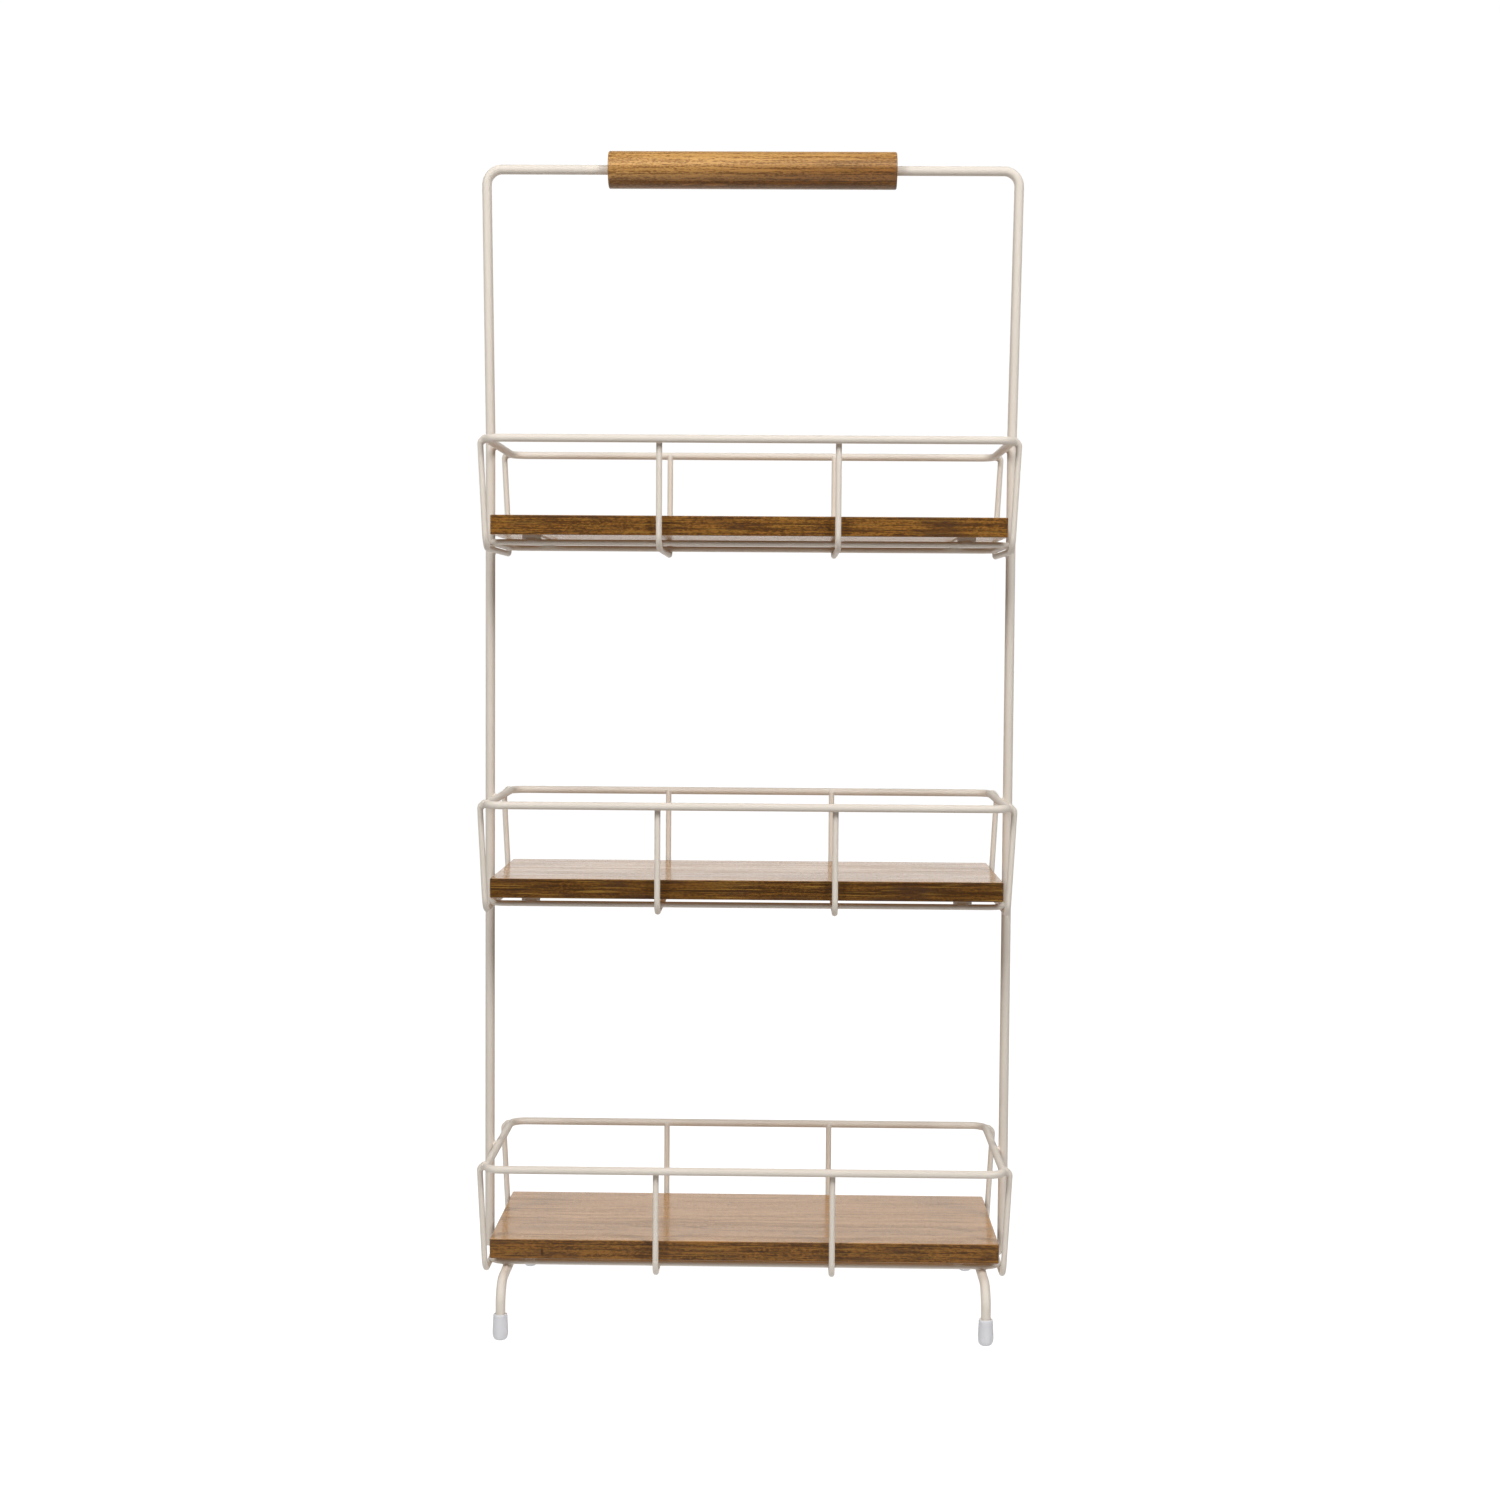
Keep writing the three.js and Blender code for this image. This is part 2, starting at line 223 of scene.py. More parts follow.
class FittingSizes(bpy.types.PropertyGroup):
    """Foot caps, steel strips and screws."""

    cap_wall: length("Cap wall", "Wall of a foot cap at its fullest", 1.3)
    cap_lip: length("Cap lip", "Wall of a foot cap at its mouth", 0.6)
    cap_lip_round: length("Cap lip round", "Rounding of the mouth's outer edge", 2)
    cap_base_inset: length("Cap base inset", "How far the flat base stays inside the wall", 2.2)
    cap_bulge: length("Cap bulge", "Height of the fullest part of the cap", 4.6)
    cap_floor: length("Cap floor", "Thickness under the leg's end", 2.6)
    strip_ease: length("Strip ease", "Rounding of a steel strip's edges", 0.35)
    shank: length("Screw shank", "Diameter of a board screw", 3)
    thread_pitch: length("Thread pitch", "Spacing of the screw's thread", 1.2)
    thread_depth: length("Thread depth", "Depth of the screw's thread", 0.35)
    head_height: length("Head height", "Height of a screw's domed head", 1.8)
    recess_width: length("Recess width", "Width of a slot of the cross in the head", 0.9)
    recess_span: length("Recess span", "Length of a slot of the cross in the head", 3.8)
    recess_depth: length("Recess depth", "Depth of the cross in the head", 1.1)


class Colours(bpy.types.PropertyGroup):
    """Colours of the finishes."""

    cream: tint("Cream", "Powder coat", "#E9DFD3")
    cream_shade: tint("Cream shade", "Powder coat where it lies thinner", "#E1D7CA")
    # Board faces: stain tones, drawn lighter partly as painted reflection of the lacquer at low angles
    board_light: tint("Board light", "Stained early wood on a board's faces", "#C69251")
    board_dark: tint("Board dark", "Stained late wood on a board's faces", "#9E733E")
    edge_light: tint("Edge light", "Stained early wood on a board's edges", "#97672F")
    edge_dark: tint("Edge dark", "Stained late wood on a board's edges", "#553514")
    # The handle's two pairs are lit and shaded copies of one stain: painted light above, painted shade below
    handle_lit_early: tint("Handle light", "Stained early wood on the handle's sapwood side", "#D8A662")
    handle_lit_late: tint("Handle dark", "Stained late wood on the handle's sapwood side", "#90602C")
    handle_shaded_early: tint("Heart light", "Stained early wood on the handle's heartwood side", "#A26D39")
    handle_shaded_late: tint("Heart dark", "Stained late wood on the handle's heartwood side", "#5B391A")
    pale_fibre: tint("Pale fibre", "Fibres that took little stain", "#A9823C")
    blotch: tint("Blotch", "Patches where the stain soaked in", "#4B3222")
    pore: tint("Pore", "Stain gathered in the pores", "#38200E")
    cap: tint("Cap", "Soft plastic of the foot caps", "#FAF9FD")
    cap_shade: tint("Cap shade", "Soft plastic where it is thicker", "#F1F0F6")
    zinc: tint("Zinc", "Zinc plate of the screws", "#C3C6C8")
    zinc_shade: tint("Zinc shade", "Zinc plate where it is duller", "#9EA2A4")
    floor: tint("Floor", "White acrylic table", "#8E8E8D")


class Stage(bpy.types.PropertyGroup):
    """Light and camera."""

    ceiling: brightness("Ceiling", "Light of the room above the stand", 0.15)
    horizon: brightness("Horizon", "Light of the room level with the stand", 0.04)
    ground: brightness("Ground", "Light of the room below the stand", 0.66)
    backdrop: brightness("Backdrop", "Light of the white backdrop", 1.02)
    key_power: power_of("Key", "Power of the high softbox", 3.0)
    key_size: lengths("Key size", "Width and depth of the high softbox", 1600, 700)
    key_place: lengths("Key place", "Middle of the high softbox", 0, -1050, 2300)
    fill_power: power_of("Fill", "Power of the softbox in front", 12.5)
    fill_size: lengths("Fill size", "Width and height of the softbox in front", 2400, 1000)
    fill_place: lengths("Fill place", "Middle of the softbox in front", 0, -2000, 1850)
    side_power: power_of("Sides", "Power of each softbox beside the stand", 21.5)
    side_size: lengths("Side size", "Width and height of a softbox beside the stand", 600, 800)
    side_place: lengths("Side place", "Middle of the right-hand softbox", 1200, -1250, 1620)
    floor_glow: brightness("Floor glow", "Light of the table from below", 0.98)
    panel_power: power_of("Panel", "Power of the panel of light under the table", 0.3)
    panel_size: length("Panel size", "Diameter of the panel of light under the table", 700)
    floor_size: length("Floor size", "Side of the floor", 40000)
    camera_place: lengths("Camera place", "Where the camera stands", 19.88, -1201.61, 359.16)
    camera_turn: angle_of("Camera turn", "Turn to the left", 0.917)
    camera_tilt: angle_of("Camera tilt", "Tilt down", 3.001)
    camera_roll: angle_of("Camera roll", "Roll to the left", 0.391)
    camera_lens: FloatProperty(
        name="Lens", description="Focal length in millimetres", default=54.69, subtype="DISTANCE_CAMERA"
    )


class StandSettings(bpy.types.PropertyGroup):
    """All sizes and colours of the stand."""

    wires: PointerProperty(type=WireSizes)
    wood: PointerProperty(type=WoodSizes)
    fittings: PointerProperty(type=FittingSizes)
    colours: PointerProperty(type=Colours)
    stage: PointerProperty(type=Stage)


# Materials


def add(tree, kind, inputs=None, **options):
    """Adds a shader node with its options, and sets its inputs.

    An input takes a value, a socket to link, or a node, from which it takes the first output in use.
    """
    node = tree.nodes.new(f"ShaderNode{kind}")
    for option, value in options.items():
        setattr(node, option, value)
    for socket, value in (inputs or {}).items():
        if isinstance(value, bpy.types.Node):
            value = next(output for output in value.outputs if output.enabled)
        if isinstance(value, bpy.types.NodeSocket):
            tree.links.new(value, node.inputs[socket])
        else:
            node.inputs[socket].default_value = value
    return node


def bare_material(name):
    """A new material with an empty node tree, and that tree."""
    material = bpy.data.materials.new(name)
    material.use_nodes = True
    material.node_tree.nodes.clear()
    return material, material.node_tree


def opaque(colour):
    """A colour with full alpha, as colour sockets want it."""
    return (*colour, 1.0)


def per(along, across):
    """Scale of a pattern stretched along X, from its two sizes in metres."""
    return (1 / along, 1 / across, 1 / across)


def clouded_finish(name, tones, cloud, grain, gloss, relief, surface):
    """A finish whose tone drifts in clouds, and whose gloss and relief follow a grain.

    Cloud and grain give a pattern's size and detail, and gloss the roughness at two levels of the grain.
    """
    if name in bpy.data.materials:
        return bpy.data.materials[name]
    material, tree = bare_material(name)
    place = add(tree, "TexCoord").outputs["Object"]
    clouds, grains = (
        add(tree, "TexNoise", {"Vector": place, "Scale": 1 / size, "Detail": detail})
        for size, detail in (cloud, grain)
    )
    shade, full = (opaque(tone) for tone in tones)
    colour = add(tree, "Mix", {0: clouds, MIX_A: shade, MIX_B: full}, data_type="RGBA")
    (low, rough_low), (high, rough_high) = gloss
    fade = {"Value": grains, "From Min": low, "From Max": high, "To Min": rough_low, "To Max": rough_high}
    inputs = {"Base Color": colour, "Roughness": add(tree, "MapRange", fade), **surface}
    if relief:
        bump = {"Height": grains, "Strength": relief, "Distance": RELIEF_HEIGHT}
        inputs["Normal"] = add(tree, "Bump", bump)
    add(tree, "OutputMaterial", {"Surface": add(tree, "BsdfPrincipled", inputs)})
    return material


def powder_coat(colours):
    """Cream powder coat, baked on steel wire.

    It flows out satin, with a fine orange peel that softens highlights, and lies a little thinner in places.
    The peel is about 1 mm wide on the real wire, and is drawn at that size.
    """
    return clouded_finish(
        "cream_powder_coat",
        tones=(colours.cream_shade, colours.cream),
        cloud=(35 * MM, 3.0),
        grain=(1.1 * MM, 1.0),
        gloss=((0.3, 0.5), (0.7, 0.62)),
        relief=0.12,
        surface={"IOR": 1.5},
    )


def milky_plastic(colours):
    """Soft polyethylene, moulded without pigment.

    Light enters and scatters, so the cap looks milky and the leg's end only glows through it faintly.
    """
    return clouded_finish(
        "milky_polyethylene",
        tones=(colours.cap_shade, colours.cap),
        cloud=(5 * MM, 2.0),
        grain=(0.5 * MM, 1.0),
        gloss=((0.0, 0.35), (1.0, 0.5)),
        relief=0.15,
        surface={
            "IOR": 1.51,
            "Subsurface Weight": 0.4,
            "Subsurface Radius": (1.0, 1.0, 1.0),
            "Subsurface Scale": 2.5 * MM,
            "Transmission Weight": 0.15,
        },
    )


def zinc_plate(colours):
    """Bright zinc plate on steel screws, which comes out of the bath faintly cloudy."""
    cloud = (1.5 * MM, 3.0)
    return clouded_finish(
        "bright_zinc_plate",
        tones=(colours.zinc_shade, colours.zinc),
        cloud=cloud,
        grain=cloud,
        gloss=((0.0, 0.42), (1.0, 0.26)),
        relief=0.0,
        surface={"Metallic": 1.0},
    )


def stained_pine(
    name, settings, face_and_lit_tones, edge_and_shade_tones, turn, soak, gloss, shine, cut, sawn=False, shade_drift=0.0, knot=None
):
    """Pine sawn along the grain, stained brown and sprayed with one coat of lacquer.

    Late wood takes more stain, so dark streaks run along X over soft bands of tone and the arcs of the growth
    rings, broken up by fibres and specks. Here and there the stain soaked in as a dull patch. Faces and edges
    take two sets of tones, and turn gives the upward slants between which one goes over to the other; a sawn
    board has a face below too. On a board the edges are stained darker, and the faces are drawn lighter
    partly as painted reflection of the lacquer at low angles. On the handle the upper tones are painted light
    and the lower ones painted shade, and drift moves the change between them: the slants lose that much on
    each metre along X.
    The lacquer gives blurred mirror images at low angles: gloss is its roughness over late and early wood,
    and shine its strength and tint. Cut is the place in the log, and knot the place of a pin knot.
    """
    wood = settings.wood
    colours = settings.colours
    material, tree = bare_material(name)
    place = add(tree, "TexCoord").outputs
    log = add(tree, "VectorMath", {0: place["Object"], 1: cut}, operation="ADD")
    noises = {}
    for part, detail in WOOD_DETAIL.items():
        scale = per(*getattr(wood, part))
        stretched = add(tree, "VectorMath", {0: log, 1: scale}, operation="MULTIPLY")
        pattern = {"Vector": stretched, "Scale": 1.0, "Detail": detail, "Roughness": 0.6}
        noises[part] = add(tree, "TexNoise", pattern)
    scale = WAVE_PERIOD / wood.ring_width
    growth = {"Vector": log, "Scale": scale, "Distortion": 3.0, "Detail": 2.0, "Detail Scale": 0.25}
    rings = add(tree, "TexWave", growth, wave_type="RINGS", rings_direction="X", wave_profile="SAW")
    shares = [(noises[part], share) for part, share in GRAIN_SHARES.items()]
    grain = 0.0
    for height, share in (*shares, (rings.outputs["Fac"], RING_SHARE)):
        grain = add(tree, "Math", {0: height, 1: share, 2: grain}, operation="MULTIPLY_ADD")
    tone = add(tree, "MapRange", {"Value": grain, "From Min": 0.45, "From Max": 0.55})
    # face and edge hold the two sets of tones; on the handle they are painted light above and painted shade
    # below
    face, edge = (
        add(tree, "Mix", {0: tone, MIX_A: opaque(dark), MIX_B: opaque(light)}, data_type="RGBA")
        for light, dark in (face_and_lit_tones, edge_and_shade_tones)
    )
    marks = {}
    for part, strength in (("pale", soak), ("blotch", soak), ("pore", PORE_STAIN)):
        start, end = MARK_FADES[part]
        fade = {"Value": noises[part], "From Min": start, "From Max": end, "To Max": strength}
        marks[part] = add(tree, "MapRange", fade)
    for part, dye in (("pale", colours.pale_fibre), ("blotch", colours.blotch)):
        edge = add(tree, "Mix", {0: marks[part], MIX_A: edge, MIX_B: opaque(dye)}, data_type="RGBA")
    slant = add(tree, "SeparateXYZ", {0: place["Normal"]}).outputs["Z"]
    if sawn:
        slant = add(tree, "Math", {0: slant}, operation="ABSOLUTE")
    # drift moves the handle's painted light and shade along X
    if shade_drift:
        along = add(tree, "SeparateXYZ", {0: place["Object"]}).outputs["X"]
        slant = add(tree, "Math", {0: along, 1: -shade_drift, 2: slant}, operation="MULTIPLY_ADD")
    # Share of the face tones by slant: on the handle, painted light on the upper side and painted shade below
    face_and_lit_share = add(tree, "MapRange", {"Value": slant, "From Min": turn[0], "From Max": turn[1]})
    colour = add(tree, "Mix", {0: face_and_lit_share, MIX_A: edge, MIX_B: face}, data_type="RGBA")
    dark_marks = [marks["pore"]]
    if knot is not None:
        away = add(tree, "VectorMath", {0: place["Object"], 1: knot}, operation="SUBTRACT")
        spread = per(wood.knot[0] / 2, wood.knot[1] / 2)
        ring = add(tree, "VectorMath", {0: away, 1: spread}, operation="MULTIPLY")
        reach = add(tree, "VectorMath", {0: ring}, operation="LENGTH")
        fade = {"Value": reach, "From Min": 1.2, "From Max": 0.5, "To Max": KNOT_STAIN}
        dark_marks.append(add(tree, "MapRange", fade))
    for mark in dark_marks:
        colour = add(tree, "Mix", {0: mark, MIX_A: colour, MIX_B: opaque(colours.pore)}, data_type="RGBA")
    inputs = {
        "Base Color": colour,
        "Roughness": add(tree, "MapRange", {"Value": tone, "To Min": gloss[0], "To Max": gloss[1]}),
        "Normal": add(tree, "Bump", {"Height": grain, "Strength": 0.1, "Distance": 0.1 * MM}),
        "IOR": 1.5,
        "Specular IOR Level": shine[0],
        "Specular Tint": shine[1],
    }
    add(tree, "OutputMaterial", {"Surface": add(tree, "BsdfPrincipled", inputs)})
    return material


def opal_acrylic(colours, glow):
    """White opal acrylic sheet, lit from below so that shadows on it stay faint, with a matt face.

    The matt face is too fine to show, and is drawn at 2 mm.
    """
    matt_size = 2 * MM
    material, tree = bare_material("opal_acrylic")
    place = add(tree, "TexCoord").outputs["Object"]
    matt = add(tree, "TexNoise", {"Vector": place, "Scale": 1 / matt_size, "Detail": 1.0})
    inputs = {
        "Base Color": opaque(colours.floor),
        "Roughness": add(tree, "MapRange", {"Value": matt, "To Min": 0.9, "To Max": 1.0}),
        "Specular IOR Level": 0.0,
        "Emission Color": WHITE,
        "Emission Strength": glow,
    }
    add(tree, "OutputMaterial", {"Surface": add(tree, "BsdfPrincipled", inputs)})
    return material


# Shapes


def round_bend(corner, inward, outward, radius):
    """Points and headings round one bend of a wire."""
    turn = inward.angle(outward)
    side = (outward - inward * math.cos(turn)).normalized()
    start = corner - inward * radius * math.tan(turn / 2)
    steps = max(2, math.ceil(turn / BEND_STEP))
    knots = []
    for i in range(steps + 1):
        angle = turn * i / steps
        point = start + inward * radius * math.sin(angle) + side * radius * (1 - math.cos(angle))
        knots.append((point, inward * math.cos(angle) + side * math.sin(angle)))
    return knots


def bent_line(corners, bends, closed=False):
    """Points and headings along a wire: straight runs joined by round bends."""
    count = len(corners)
    headings = [(corners[(i + 1) % count] - corners[i]).normalized() for i in range(count)]
    line = [] if closed else [(corners[0], headings[0])]
    turning = range(count) if closed else range(1, count - 1)
    for i, bend in zip(turning, itertools.cycle(bends)):
        line += round_bend(corners[i], headings[i - 1], headings[i], bend)
    if not closed:
        line.append((corners[-1], headings[-2]))
    return line


def skin(bm, rings, sides, poles=None):
    """Joins rings of (middle, first axis, second axis, radius) into a skin.

    With two poles, one before the first ring and one after the last, both ends are closed. Without them the
    last ring joins the first.
    """
    loops = []
    for middle, across, up, radius in rings:
        loop = []
        for i in range(sides):
            angle = math.tau * i / sides
            loop.append(bm.verts.new(middle + radius * (across * math.cos(angle) + up * math.sin(angle))))
        loops.append(loop)
    pairs = list(zip(loops, loops[1:]))
    if poles is None:
        pairs.append((loops[-1], loops[0]))
    for one, other in pairs:
        for i in range(sides):
            j = (i + 1) % sides
            bm.faces.new((one[i], one[j], other[j], other[i]))
    if poles is not None:
        for pole, loop in zip(poles, (loops[0], loops[-1])):
            tip = bm.verts.new(pole)
            for i in range(sides):
                bm.faces.new((tip, loop[i], loop[(i + 1) % sides]))


def cut_end(point, inward, radius, edge, dome, kept):
    """Places and radii of the rings that round a wire's cut end over a dome's length, tip first."""
    rings = []
    for i in range(1, ROUND_STEPS + 1):
        angle = math.pi / 2 * i / ROUND_STEPS
        loss = edge * (1 - math.sin(angle))
        rings.append((point + inward * dome * (1 - math.cos(angle)) + kept * loss, radius - loss))
    return rings


def wire(corners, bends, flat, diameter, edge=None, dome=None, kept=Vector()):
    """A round wire bent in the plane square to flat; without an edge for its cut ends they are joined.

    Where its ends are ground to a dome on one side only, kept points to the side that is left whole.
    """
    radius = diameter / 2
    line = bent_line(corners, bends, closed=edge is None)
    path = [(point, heading, radius) for point, heading in line]
    poles = None
    if edge is not None:
        (first, start), (last, end) = line[0], line[-1]
        cut = (radius, edge, dome or edge, kept)
        head = [(place, start, size) for place, size in cut_end(first, start, *cut)]
        tail = [(place, end, size) for place, size in cut_end(last, -end, *cut)]
        path = head + path[1:-1] + tail[::-1]
        poles = (first + kept * edge, last + kept * edge)
    bm = bmesh.new()
    rings = [(point, heading.cross(flat), flat, size) for point, heading, size in path]
    skin(bm, rings, WIRE_SIDES, poles)
    return bm


def arc(middle, radius, start, end):
    """Points of a round corner of a turned profile, as radius and height, between two angles in degrees."""
    points = []
    for i in range(ROUND_STEPS + 1):
        angle = math.radians(start + (end - start) * i / ROUND_STEPS)
        points.append((middle[0] + radius * math.cos(angle), middle[1] + radius * math.sin(angle)))
    return points


def swell(start, control, end):
    """Points of a parabolic curve of a turned profile."""
    points = []
    for i in range(ROUND_STEPS * 2 + 1):
        t = i / (ROUND_STEPS * 2)
        weights = ((1 - t) ** 2, 2 * t * (1 - t), t * t)
        points.append(tuple(sum(w * p[k] for w, p in zip(weights, (start, control, end))) for k in (0, 1)))
    return points


def turned(profile, axis, across, up, base, solid):
    """A turned solid about an axis from base; a solid's profile starts and ends on the axis."""
    bm = bmesh.new()
    body = profile[1:-1] if solid else profile
    rings = [(base + axis * height, across, up, radius) for radius, height in body]
    poles = [base + axis * profile[0][1], base + axis * profile[-1][1]] if solid else None
    skin(bm, rings, TURNED_SIDES, poles)
    return bm


def eased_board(low, high, corner, ease):
    """A board between two corners of its box, with rounded corners and eased edges."""
    bm = bmesh.new()
    bmesh.ops.create_cube(bm, size=1)
    for vert in bm.verts:
        vert.co = Vector([high[k] if vert.co[k] > 0 else low[k] for k in range(3)])
    rounding = {"offset_type": "OFFSET", "profile": 0.5, "affect": "EDGES"}
    uprights = [e for e in bm.edges if abs(e.verts[0].co.z - e.verts[1].co.z) > (high.z - low.z) / 2]
    bmesh.ops.bevel(bm, geom=uprights, offset=corner, segments=CORNER_STEPS, **rounding)
    by_height = sorted(bm.faces, key=lambda face: face.calc_center_median().z)
    outlines = [edge for face in (by_height[0], by_height[-1]) for edge in face.edges]
    bmesh.ops.bevel(bm, geom=outlines, offset=ease, segments=EASE_STEPS, **rounding)
    return bm


def put(name, data):
    """Puts a mesh, a lamp or a camera into the scene."""
    obj = bpy.data.objects.new(name, data)
    bpy.context.scene.collection.objects.link(obj)
    return obj


def put_shape(name, bm, *materials):
    """Puts a finished shape into the scene."""
    mesh = bpy.data.meshes.new(name)
    bm.to_mesh(mesh)
    bm.free()
    for material in materials:
        mesh.materials.append(material)
    return put(name, mesh)


def piece(name, bm, material, body, slot, *nodes):
    """Makes a finished piece from a shape: it rides on a body and stands for CAD nodes."""
    bmesh.ops.recalc_face_normals(bm, faces=bm.faces)
    obj = put_shape(name, bm, material)
    for polygon in obj.data.polygons:
        polygon.use_smooth = True
    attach(obj, body)
    if nodes:
        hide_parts(*nodes)
    return obj


def coated(name, bm, *nodes):
    """Makes a powder coated piece of the stand."""
    coat = powder_coat(bpy.context.scene.shelf_stand.colours)
    piece(name, bm, coat, "stand", "powder_coat", *nodes)


# Places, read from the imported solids


def middle_of(node):
    """Middle of a node's box."""
    low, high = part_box(node)
    return (low + high) / 2


def foot_of(node):
    """Middle of the underside of a node's box."""
    middle = middle_of(node)
    return Vector((middle.x, middle.y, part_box(node)[0].z))


def ring_corners(node, diameter):
    """Corners of a closed wire ring's centreline."""
    low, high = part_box(node)
    x = high.x - diameter / 2
    y = high.y - diameter / 2
    z = (low.z + high.z) / 2
    return [Vector((-x, -y, z)), Vector((x, -y, z)), Vector((x, y, z)), Vector((-x, y, z))]


def hoop_corners(node, diameter):
    """Corners of a U hoop's centreline, whose legs may lean outwards."""
    low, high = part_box(node)
    radius = diameter / 2
    y = high.y - radius
    foot = low.z + radius
    side = 1 if low.x + high.x > 0 else -1
    outer = max(abs(low.x), abs(high.x)) - radius
    inner = min(abs(low.x), abs(high.x)) + radius
    if outer < inner:
        outer = inner = (outer + inner) / 2
    return [
        Vector((side * outer, -y, high.z)),
        Vector((side * inner, -y, foot)),
        Vector((side * inner, y, foot)),
        Vector((side * outer, y, high.z)),
    ]


def upright_place():
    """How far the uprights stand from the middle, read at their lower ends."""
    same_height = 0.01 * MM
    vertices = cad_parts["main_frame"].data.vertices
    foot = min(v.co.z for v in vertices)
    ends = [abs(v.co.x) for v in vertices if v.co.z < foot + same_height]
    return sum(ends) / len(ends)


# Welds


def round_bar(point, axis, diameter, tip=math.inf, dome=None, kept=Vector()):
    """Distance from a wire's surface, for many points at once.

    Its domed tip is that far from the point, and kept points to the side that the dome leaves whole.
    """
    point = np.array(point)
    axis = np.array(axis)
    kept = np.array(kept)
    radius = diameter / 2
    dome = dome or radius

    def distance(places):
        away = places - point
        along = away @ axis
        past = np.maximum(along - tip + dome, 0) * radius / dome
        loss = radius - np.sqrt(np.maximum(radius**2 - past**2, 0))
        across = np.linalg.norm(away - np.outer(along, axis) - np.outer(loss, kept), axis=1)
        return np.hypot(across, past) - radius

    return distance


def foot_plate(point, thickness, height):
    """Distance from a strip's upright foot, which is wide along X, for many points at once."""
    point = np.array(point)

    def distance(places):
        away = np.abs(places - point)
        return np.maximum(away[:, 1] - thickness / 2, away[:, 2] - height / 2)

    return distance


def add_weld(bm, contact, bars, wires, blend=None):
    """Adds the coated fillet of a spot weld: the smooth union of two bars close to their contact.

    Each vertex of a small ball goes out along its own direction until it leaves that union. The fillet's
    skirt ends just under the bars' surfaces.
    """
    blend = blend or wires.weld_blend
    ball = bmesh.ops.create_icosphere(bm, subdivisions=BEAD_SUBDIVISIONS, radius=1)["verts"]
    ways = np.array([vert.co.normalized() for vert in ball])
    near = np.zeros(len(ball))
    far = np.full(len(ball), wires.weld_reach)
    for _ in range(BEAD_HALVINGS):
        half = (near + far) / 2
        places = np.array(contact) + ways * half[:, None]
        one, other = (bar(places) for bar in bars)
        overlap = np.maximum(blend - np.abs(one - other), 0) / blend
        field = np.minimum(one, other) - overlap**2 * blend / 4 + WELD_SINK
        near = np.where(field < 0, half, near)
        far = np.where(field < 0, far, half)
    for vert, way, reach in zip(ball, ways, near):
        vert.co = Vector(contact) + Vector(way * reach)


def tier_welds(tier, wires):
    """Fillets at every weld of one basket."""
    bm = bmesh.new()
    rim = ring_corners(f"{tier}_rim", wires.rim_wire)[2]
    ring = ring_corners(f"{tier}_base_ring", wires.hoop_wire)[2]
    for end, side in ENDS.items():
        hoop, hoop_tip = hoop_corners(f"{tier}_hoop_{end}", wires.hoop_wire)[2:]
        end_foot, end_tip = hoop_corners(f"{tier}_end_hoop_{end}", wires.hoop_wire)[2:]
        lean = (end_tip - end_foot).normalized()
        post = round_bar((side * upright_place(), 0, rim.z), Z_AXIS, wires.frame_wire)
        end_bar = round_bar((side * rim.x, 0, rim.z), Y_AXIS, wires.rim_wire)
        sill = round_bar((end_foot.x, 0, hoop.z), Y_AXIS, wires.hoop_wire)
        rim_side = side * (rim.x + wires.rim_wire / 2)
        add_weld(bm, (rim_side, 0, rim.z), (end_bar, post), wires)
        add_weld(bm, (end_foot.x + side * wires.hoop_wire / 2, 0, hoop.z), (sill, post), wires)
        run = round_bar((hoop.x, 0, hoop.z), Y_AXIS, wires.hoop_wire)
        strip_low, strip_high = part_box(f"{tier}_strip_{end}")
        strip = (strip_low + strip_high) / 2
        foot_thickness = 2 * (strip_high.y - ring.y)
        for face in FACES.values():
            rim_bar = round_bar((0, face * rim.y, rim.z), X_AXIS, wires.rim_wire)
            leg_place = (hoop.x, face * hoop.y, rim.z)
            leg = round_bar(leg_place, Z_AXIS, wires.hoop_wire, tip=hoop_tip.z - rim.z)
            add_weld(bm, (hoop.x, face * (hoop.y + wires.hoop_wire / 2), rim.z), (leg, rim_bar), wires)
            tip = Vector((end_tip.x, face * end_tip.y, end_tip.z))
            end_leg = round_bar(tip, lean, wires.hoop_wire, tip=0, dome=wires.tip_dome, kept=-side * X_AXIS)
            add_weld(bm, (rim_side, tip.y, rim.z), (end_leg, end_bar), wires, wires.tip_blend)
            ring_bar = round_bar((0, face * ring.y, ring.z), X_AXIS, wires.hoop_wire)
            add_weld(bm, (hoop.x, face * ring.y, (ring.z + hoop.z) / 2), (run, ring_bar), wires)
            foot_place = (strip.x, face * ring.y, strip.z)
            foot = foot_plate(foot_place, foot_thickness, strip_high.z - strip_low.z)
            add_weld(bm, (strip.x, face * ring.y, strip_low.z), (foot, ring_bar), wires)
    return bm


def leg_welds(wires):
    """Fillets where the leg arches meet the low base ring."""
    bm = bmesh.new()
    ring = ring_corners("low_base_ring", wires.hoop_wire)[2]
    for end in ENDS:
        x = middle_of(f"leg_arch_{end}").x
        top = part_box(f"leg_arch_{end}")[1].z
        for face in FACES.values():
            ring_bar = round_bar((0, face * ring.y, ring.z), X_AXIS, wires.hoop_wire)
            arch_bar = round_bar((x, 0, top - wires.leg_wire / 2), Y_AXIS, wires.leg_wire)
            add_weld(bm, (x, face * ring.y, top), (arch_bar, ring_bar), wires)
    return bm


# Operators, one for each kind of piece


